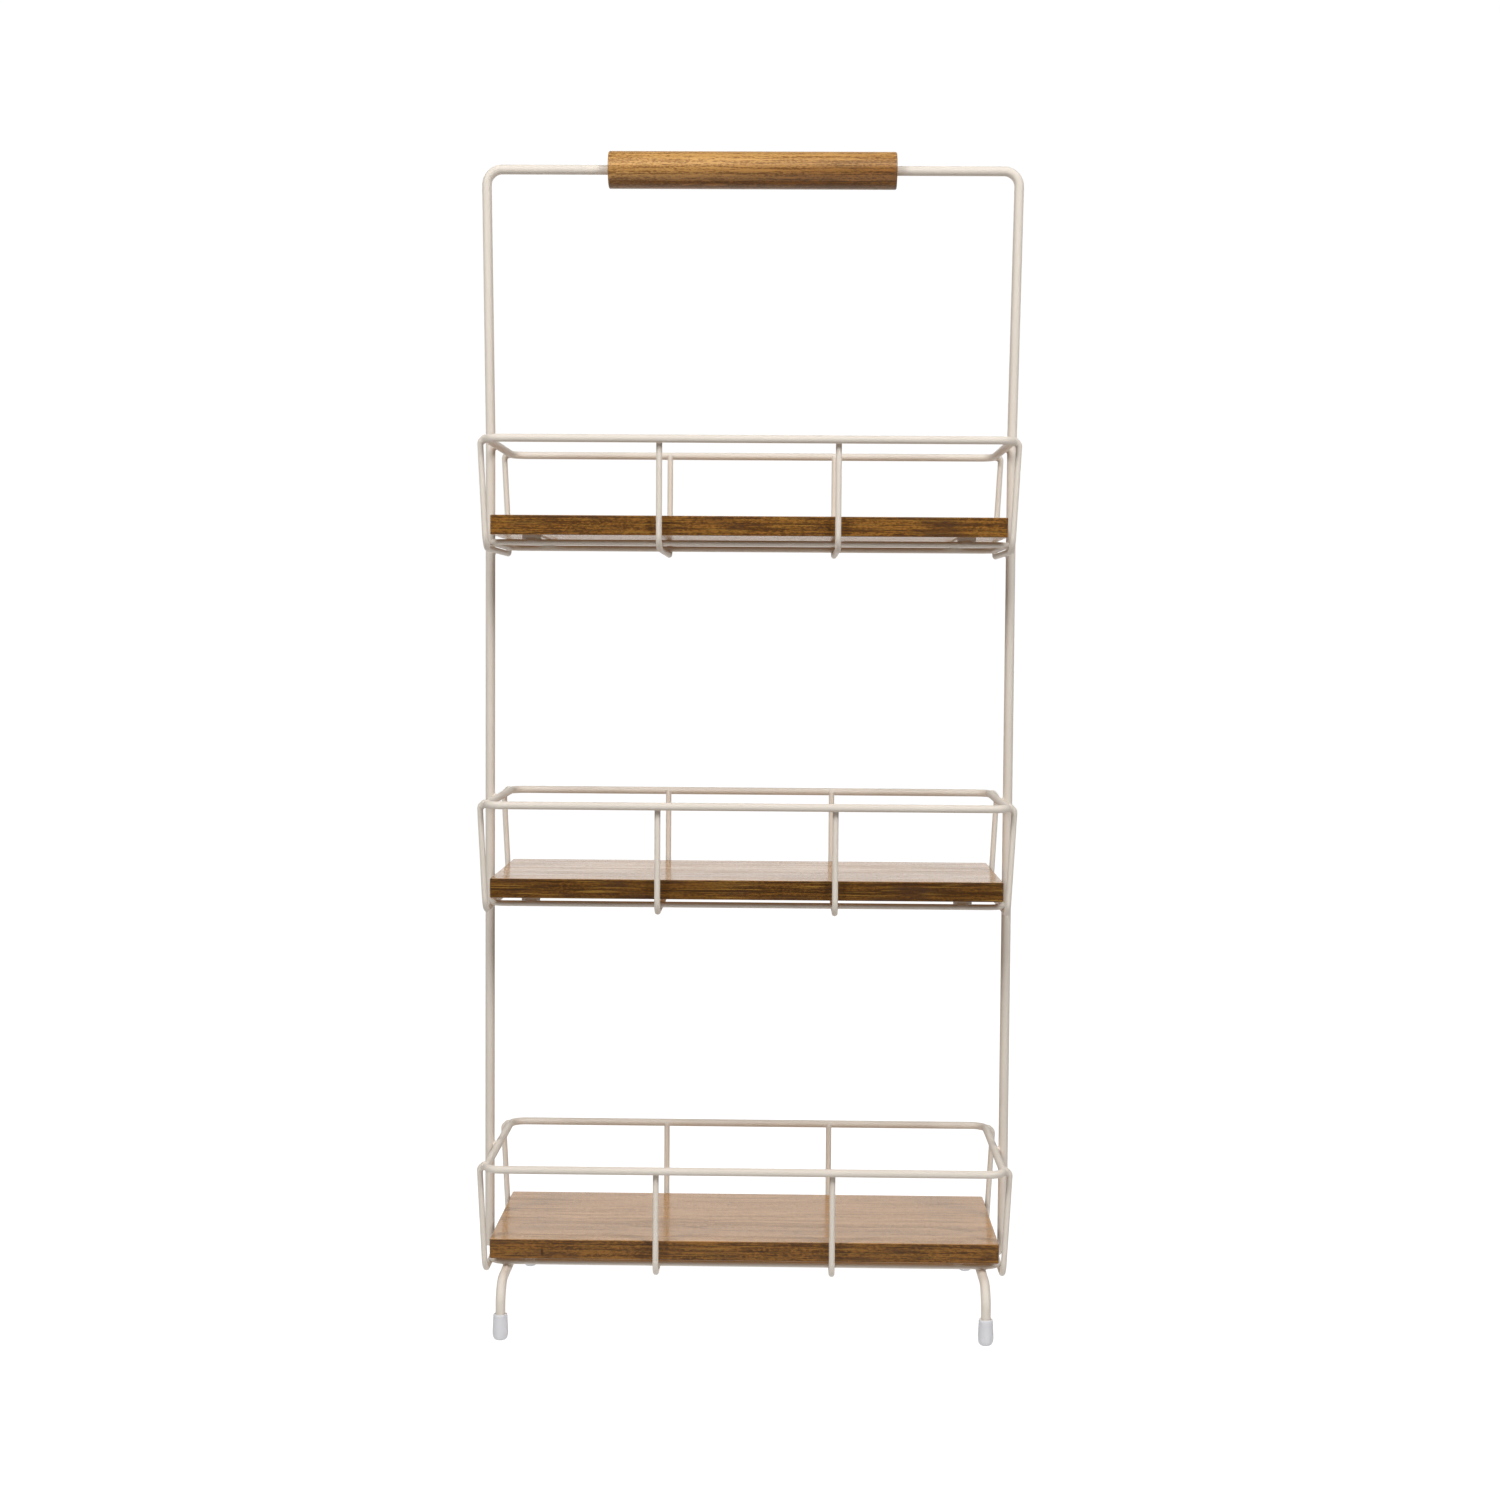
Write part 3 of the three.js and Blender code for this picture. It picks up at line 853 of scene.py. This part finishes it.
class STAND_OT_main_frame(bpy.types.Operator):
    """Bends the main frame: top bar, two corners and both uprights in one wire"""

    bl_idname = "shelf_stand.main_frame"
    bl_label = "Main frame"

    def execute(self, context):
        wires = context.scene.shelf_stand.wires
        low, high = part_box("main_frame")
        upright = upright_place()
        top = high.x - wires.frame_wire / 2
        bar = middle_of("handle").z
        kink = middle_of("top_rim").z + wires.flare_above_rim
        half = [Vector((upright, 0, low.z)), Vector((upright, 0, kink)), Vector((top, 0, bar))]
        mirrored = [Vector((-p.x, 0, p.z)) for p in half]
        bends = [wires.flare_bend, wires.top_bend, wires.top_bend, wires.flare_bend]
        bm = wire(mirrored + half[::-1], bends, Y_AXIS, wires.frame_wire, wires.cut_round)
        coated("main_frame_wire", bm, "main_frame")
        return {"FINISHED"}


class STAND_OT_handle(bpy.types.Operator):
    """Turns the handle: a bored dowel with eased ends on the top bar"""

    bl_idname = "shelf_stand.handle"
    bl_label = "Handle"

    def execute(self, context):
        settings = context.scene.shelf_stand
        wood = settings.wood
        colours = settings.colours
        low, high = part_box("handle")
        half = (high.x - low.x) / 2
        radius = (high.z - low.z) / 2
        bore = wood.handle_bore / 2
        ease = wood.handle_ease
        profile = [
            (bore, half),
            *arc((radius - ease, half - ease), ease, 90, 0),
            *arc((radius - ease, ease - half), ease, 0, -90),
            (bore, -half),
        ]
        bm = turned(profile, X_AXIS, Y_AXIS, Z_AXIS, middle_of("handle"), solid=False)
        stain = stained_pine(
            "honey_stained_pine",
            settings,
            # Upper side painted light, lower side painted shade, with the change moved along X by drift
            face_and_lit_tones=(colours.handle_lit_early, colours.handle_lit_late),
            edge_and_shade_tones=(colours.handle_shaded_early, colours.handle_shaded_late),
            turn=(-0.7, 0.5),
            soak=0.3,
            gloss=(0.38, 0.26),
            shine=(1.0, (1.0, 0.75, 0.5, 1.0)),
            cut=(0.3, 0.02, -0.56),
            shade_drift=7.0,
        )
        obj = piece("handle_dowel", bm, stain, "handle", "handle_wood", "handle")
        obj.data.set_sharp_from_angle(angle=SHARP_EDGE)
        return {"FINISHED"}


class STAND_OT_rings(bpy.types.Operator):
    """Bends the rims and base rings, which are butt welded into closed rings"""

    bl_idname = "shelf_stand.rings"
    bl_label = "Rims and base rings"

    def execute(self, context):
        wires = context.scene.shelf_stand.wires
        for tier in TIERS:
            for part, diameter in (("rim", wires.rim_wire), ("base_ring", wires.hoop_wire)):
                node = f"{tier}_{part}"
                bm = wire(ring_corners(node, diameter), [wires.basket_bend], Z_AXIS, diameter)
                coated(f"{node}_wire", bm, node)
        return {"FINISHED"}


class STAND_OT_hoops(bpy.types.Operator):
    """Bends the U hoops of the baskets, whose tops are rounded off by the weld and the coat"""

    bl_idname = "shelf_stand.hoops"
    bl_label = "Hoops"

    def execute(self, context):
        wires = context.scene.shelf_stand.wires
        for tier, part, end in itertools.product(TIERS, ("hoop", "end_hoop"), ENDS):
            node = f"{tier}_{part}_{end}"
            corners = hoop_corners(node, wires.hoop_wire)
            flat = (corners[0] - corners[1]).cross(Y_AXIS).normalized()
            ground = {"dome": wires.tip_dome, "kept": -ENDS[end] * X_AXIS} if part == "end_hoop" else {}
            bm = wire(corners, [wires.hoop_bend], flat, wires.hoop_wire, wires.hoop_wire / 2, **ground)
            coated(f"{node}_wire", bm, node)
        return {"FINISHED"}


class STAND_OT_strips(bpy.types.Operator):
    """Coats the flat steel strips under the boards and rounds their sheared edges"""

    bl_idname = "shelf_stand.strips"
    bl_label = "Strips"

    def execute(self, context):
        settings = context.scene.shelf_stand
        coat = powder_coat(settings.colours)
        for tier, end in itertools.product(TIERS, ENDS):
            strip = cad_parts[f"{tier}_strip_{end}"]
            strip.data.materials.clear()
            strip.data.materials.append(coat)
            ease = strip.modifiers.new("Eased edges", "BEVEL")
            ease.width = settings.fittings.strip_ease
            ease.segments = STRIP_EASE_STEPS
        return {"FINISHED"}


class STAND_OT_boards(bpy.types.Operator):
    """Planes the three boards, each cut from another place in the log"""

    bl_idname = "shelf_stand.boards"
    bl_label = "Boards"

    def execute(self, context):
        settings = context.scene.shelf_stand
        wood = settings.wood
        colours = settings.colours
        for tier, (cut, paleness, soak) in BOARDS.items():
            node = f"{tier}_board"
            low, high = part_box(node)
            bm = eased_board(low, high, wood.board_corner, wood.board_ease)
            knot = Vector((low.x + wood.knot_from_end, low.y, high.z - wood.knot_from_top))
            stain = stained_pine(
                f"walnut_stained_pine_{tier}",
                settings,
                # Faces lighter than edges: partly stain, partly painted reflection
                face_and_lit_tones=(colours.board_light, colours.board_dark),
                edge_and_shade_tones=(colours.edge_light * paleness, colours.edge_dark * paleness),
                turn=(0.5, 0.95),
                soak=soak,
                gloss=(0.3, 0.1),
                shine=(0.5, WHITE),
                cut=cut,
                sawn=True,
                knot=knot if tier == "low" else None,
            )
            obj = piece(f"{node}_plank", bm, stain, "stand", "board_wood", node)
            obj.modifiers.new("Flat faces", "WEIGHTED_NORMAL")
        return {"FINISHED"}


class STAND_OT_screws(bpy.types.Operator):
    """Makes the board screws: domed heads with a cross recess, and a thread up into the wood"""

    bl_idname = "shelf_stand.screws"
    bl_label = "Screws"

    def execute(self, context):
        settings = context.scene.shelf_stand
        plate = zinc_plate(settings.colours)
        profile = self.profile(settings.fittings)
        punch = self.cross(settings.fittings)
        for tier, face, end in itertools.product(TIERS, FACES, ENDS):
            node = f"{tier}_screw_{face}_{end}"
            base = foot_of(node)
            bm = turned(profile, Z_AXIS, X_AXIS, Y_AXIS, base, solid=True)
            screw = piece(f"{node}_pan_head", bm, plate, "stand", "screw_zinc", node)
            punch.location = base
            recess = screw.modifiers.new("Cross recess", "BOOLEAN")
            recess.object = punch
            context.view_layer.update()
            dressed = screw.evaluated_get(context.evaluated_depsgraph_get())
            cut = bpy.data.meshes.new_from_object(dressed)
            screw.modifiers.clear()
            screw.data = cut
            screw.data.set_sharp_from_angle(angle=SHARP_EDGE)
        bpy.data.objects.remove(punch)
        return {"FINISHED"}

    def profile(self, fittings):
        """Radius and height along a screw, from the middle of its head to its point."""
        low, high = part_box("low_screw_front_left")
        head = (high.x - low.x) / 2
        tall = high.z - low.z
        seat = fittings.head_height
        shank = fittings.shank / 2
        root = shank - fittings.thread_depth
        point = tall - 2 * shank
        dome = swell((head * HEAD_FLAT, 0), (head, 0), (head, seat * HEAD_DOME))
        profile = [(0, 0), *dome, (head, seat), (root, seat)]
        for i in range(int((point - seat) / fittings.thread_pitch)):
            for radius, share in zip((root, shank, root), THREAD_SHAPE):
                profile.append((radius, seat + (i + share) * fittings.thread_pitch))
        return profile + [(root, point), (0, tall)]

    def cross(self, fittings):
        """The cross-shaped punch that sinks a screw's recess."""
        bm = bmesh.new()
        span = fittings.recess_span / 2
        width = fittings.recess_width / 2
        outline = [Vector((span, width, 0)), Vector((width, width, 0)), Vector((width, span, 0))]
        points = []
        for quarter in range(4):
            turn = Matrix.Rotation(quarter * math.pi / 2, 3, "Z")
            points += [turn @ point for point in outline]
        upper = [bm.verts.new(p * PUNCH_TIP + Z_AXIS * fittings.recess_depth) for p in points]
        lower = [bm.verts.new(p - Z_AXIS * fittings.recess_depth) for p in points]
        bm.faces.new(upper)
        bm.faces.new(lower)
        for i in range(len(points)):
            j = (i + 1) % len(points)
            bm.faces.new((upper[i], upper[j], lower[j], lower[i]))
        bmesh.ops.recalc_face_normals(bm, faces=bm.faces)
        return put_shape("cross_punch", bm)


class STAND_OT_legs(bpy.types.Operator):
    """Bends the two leg arches under the low basket"""

    bl_idname = "shelf_stand.legs"
    bl_label = "Leg arches"

    def execute(self, context):
        wires = context.scene.shelf_stand.wires
        for end in ENDS:
            node = f"leg_arch_{end}"
            low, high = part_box(node)
            x = middle_of(node).x
            y = high.y - wires.leg_wire / 2
            top = high.z - wires.leg_wire / 2
            corners = [Vector((x, *point)) for point in ((-y, low.z), (-y, top), (y, top), (y, low.z))]
            bm = wire(corners, [wires.leg_bend], X_AXIS, wires.leg_wire, wires.cut_round)
            coated(f"{node}_wire", bm, node)
        return {"FINISHED"}


class STAND_OT_foot_caps(bpy.types.Operator):
    """Moulds the soft caps on the four feet"""

    bl_idname = "shelf_stand.foot_caps"
    bl_label = "Foot caps"

    def execute(self, context):
        settings = context.scene.shelf_stand
        fittings = settings.fittings
        plastic = milky_plastic(settings.colours)
        for face, end in itertools.product(FACES, ENDS):
            node = f"foot_cap_{face}_{end}"
            low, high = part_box(node)
            tall = high.z - low.z
            bulge = (high.x - low.x) / 2
            bore = bulge - fittings.cap_wall
            lip = bore + fittings.cap_lip
            shoulder = (bulge + lip) / 2
            profile = [
                (0, 0),
                *swell((bulge - fittings.cap_base_inset, 0), (bulge, 0), (bulge, fittings.cap_bulge)),
                *swell((shoulder, tall - fittings.cap_lip_round), (shoulder, tall), (lip, tall)),
                (bore, tall),
                (bore, fittings.cap_floor),
                (0, fittings.cap_floor),
            ]
            bm = turned(profile, Z_AXIS, X_AXIS, Y_AXIS, foot_of(node), solid=True)
            cap = piece(f"{node}_cover", bm, plastic, "stand", "cap_plastic", node)
            cap.data.set_sharp_from_angle(angle=SHARP_EDGE)
        return {"FINISHED"}


class STAND_OT_welds(bpy.types.Operator):
    """Fills the creases between welded wires"""

    bl_idname = "shelf_stand.welds"
    bl_label = "Welds"

    def execute(self, context):
        wires = context.scene.shelf_stand.wires
        for tier in TIERS:
            coated(f"{tier}_welds", tier_welds(tier, wires))
        coated("leg_welds", leg_welds(wires))
        return {"FINISHED"}


class STAND_OT_stage(bpy.types.Operator):
    """Sets the table, the room, the softboxes and the camera"""

    bl_idname = "shelf_stand.stage"
    bl_label = "Stage"

    def execute(self, context):
        scene = context.scene
        settings = scene.shelf_stand
        stage = settings.stage
        self.floor(settings)
        self.room(scene, stage)
        self.lamp("high_softbox", "RECTANGLE", stage.key_place, stage.key_size, stage.key_power)
        self.lamp("front_softbox", "RECTANGLE", stage.fill_place, stage.fill_size, stage.fill_power)
        for end, side in ENDS.items():
            place = Vector((side * stage.side_place[0], *stage.side_place[1:]))
            self.lamp(f"{end}_softbox", "RECTANGLE", place, stage.side_size, stage.side_power)
        self.lamp("table_panel", "DISK", -MM * Z_AXIS, [stage.panel_size] * 2, stage.panel_power)
        self.camera(scene, stage)
        scene.view_settings.view_transform = "Standard"
        return {"FINISHED"}

    def floor(self, settings):
        """A wide white table, which leaves the light from below to its panel."""
        half = settings.stage.floor_size / 2
        bm = bmesh.new()
        bmesh.ops.create_grid(bm, x_segments=FLOOR_CELLS, y_segments=FLOOR_CELLS, size=half)
        table = put_shape("floor", bm, opal_acrylic(settings.colours, settings.stage.floor_glow))
        table.visible_diffuse = False
        table.visible_glossy = False
        table.visible_shadow = False

    def room(self, scene, stage):
        """A dim room with a white backdrop behind the stand, and plain white all round in the picture."""
        world = bpy.data.worlds.new("studio_room")
        world.use_nodes = True
        tree = world.node_tree
        tree.nodes.clear()
        way = add(tree, "SeparateXYZ", {0: add(tree, "TexCoord").outputs["Generated"]})
        level = stage.horizon
        for axis, (start, end), light in (
            ("Z", CEILING_FADE, stage.ceiling),
            ("Z", GROUND_FADE, stage.ground),
            ("Y", BACKDROP_FADE, stage.backdrop),
        ):
            fade = {"Value": way.outputs[axis], "From Min": start, "From Max": end, "To Max": light}
            glow = add(tree, "MapRange", fade, interpolation_type="SMOOTHSTEP")
            level = add(tree, "Math", {0: glow, 1: level}, operation="MAXIMUM")
        room = add(tree, "Background", {"Color": WHITE, "Strength": level})
        plain = add(tree, "Background", {"Color": WHITE, "Strength": stage.backdrop})
        seen = add(tree, "LightPath").outputs["Is Camera Ray"]
        light = add(tree, "MixShader", {0: seen, 1: room, 2: plain})
        add(tree, "OutputWorld", {"Surface": light})
        scene.world = world

    def lamp(self, name, shape, place, size, power):
        """A large soft lamp that points at the stand's middle and stays out of the picture."""
        light = bpy.data.lights.new(name, "AREA")
        light.shape = shape
        light.size, light.size_y = size
        light.energy = power
        lamp = put(name, light)
        lamp.location = place
        aim = sum(CAD_BOX, Vector()) / 2 - lamp.location
        lamp.rotation_euler = aim.to_track_quat("-Z", "Y").to_euler()
        lamp.visible_camera = False

    def camera(self, scene, stage):
        """A camera a little right of the middle, above the middle of the stand's height."""
        lens = bpy.data.cameras.new("camera")
        lens.lens = stage.camera_lens
        camera = put("camera", lens)
        turn = Matrix.Rotation(stage.camera_turn, 4, "Z")
        tilt = Matrix.Rotation(math.pi / 2 - stage.camera_tilt, 4, "X")
        roll = Matrix.Rotation(stage.camera_roll, 4, "Z")
        camera.matrix_world = Matrix.Translation(stage.camera_place) @ turn @ tilt @ roll
        scene.camera = camera


OPERATORS = (
    STAND_OT_main_frame,
    STAND_OT_handle,
    STAND_OT_rings,
    STAND_OT_hoops,
    STAND_OT_strips,
    STAND_OT_boards,
    STAND_OT_screws,
    STAND_OT_legs,
    STAND_OT_foot_caps,
    STAND_OT_welds,
    STAND_OT_stage,
)


class STAND_PT_build(bpy.types.Panel):
    """Lists the stand's pieces and their sizes and colours"""

    bl_idname = "STAND_PT_build"
    bl_label = "Shelf stand"
    bl_space_type = "VIEW_3D"
    bl_region_type = "UI"
    bl_category = "Shelf stand"

    def draw(self, context):
        layout = self.layout
        for operator in OPERATORS:
            layout.operator(operator.bl_idname)
        settings = context.scene.shelf_stand
        for group in (settings.wires, settings.wood, settings.fittings, settings.colours, settings.stage):
            box = layout.box()
            for name in group.bl_rna.properties.keys():
                if name not in ("rna_type", "name"):
                    box.prop(group, name)


CLASSES = (WireSizes, WoodSizes, FittingSizes, Colours, Stage, StandSettings, *OPERATORS, STAND_PT_build)


def register():
    for cls in CLASSES:
        bpy.utils.register_class(cls)
    bpy.types.Scene.shelf_stand = PointerProperty(type=StandSettings)


def unregister():
    del bpy.types.Scene.shelf_stand
    for cls in reversed(CLASSES):
        bpy.utils.unregister_class(cls)


def main():
    register()
    bpy.ops.shelf_stand.main_frame()
    bpy.ops.shelf_stand.handle()
    bpy.ops.shelf_stand.rings()
    bpy.ops.shelf_stand.hoops()
    bpy.ops.shelf_stand.strips()
    bpy.ops.shelf_stand.boards()
    bpy.ops.shelf_stand.screws()
    bpy.ops.shelf_stand.legs()
    bpy.ops.shelf_stand.foot_caps()
    bpy.ops.shelf_stand.welds()
    bpy.ops.shelf_stand.stage()


if __name__ == "__main__":
    main()
